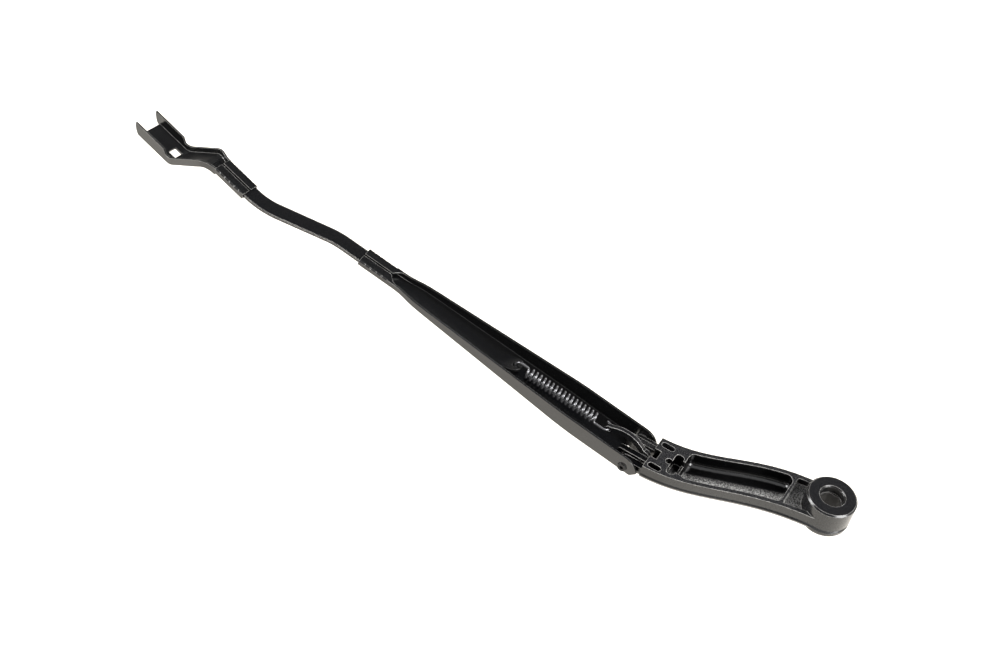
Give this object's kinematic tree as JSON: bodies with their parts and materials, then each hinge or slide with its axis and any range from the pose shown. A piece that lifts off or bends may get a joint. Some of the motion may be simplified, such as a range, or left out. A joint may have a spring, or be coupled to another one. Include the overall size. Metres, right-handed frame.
{
  "type": "wiper arm",
  "caption": "Windscreen wiper arm: cast pivot head, sprung hinge, tapered channel, flat bar and forked tip bracket.",
  "frame": {"origin": "centre of the pivot bore at the boss's underside face", "axes": "+Z out of the bore's mouth towards the glass, +X along the arm to its tip, +Y to the side that the head sweeps to"},
  "size_m": [0.4693, 0.062, 0.0532],
  "materials": {
    "cast_paint": "satin black paint on a casting",
    "sheet_paint": "gloss black paint on pressed steel",
    "bar_paint": "satin black paint on a steel bar",
    "pin_steel": "dark oiled steel",
    "rivet_steel": "painted over, worn at the rim",
    "spring_steel": "gloss black lacquer on spring wire",
    "link_steel": "black oxide with bright edges",
    "bush_plastic": "moulded black nylon"
  },
  "bodies": {
    "head": {"arm_head": "cast_paint", "link_pin": "pin_steel", "hinge_bushes": "bush_plastic"},
    "arm": {"retainer": "sheet_paint", "flat_bar": "bar_paint", "tip_bracket": "sheet_paint", "hinge_rivets": "rivet_steel", "spring": "spring_steel"},
    "link": {"spring_link": "link_steel"}
  },
  "joints": [
    {"name": "arm_hinge", "type": "hinge", "parent": "head", "child": "arm", "pos_m": [0.1098, 0.031, -0.0161], "axis": [0, 1, 0], "range_deg": [0, 55], "stiffness_Nm_per_rad": 2, "springref_deg": -85.94, "deforming": ["spring"]},
    {"name": "link_hinge", "type": "hinge", "parent": "head", "child": "link", "pos_m": [0.10279, 0.031, -0.01309], "axis": [0, 1, 0], "range_deg": [0, 51]}
  ],
  "couplings": [
    {"joint": "link_hinge", "follows": "arm_hinge", "ratio": 0.9188}
  ]
}
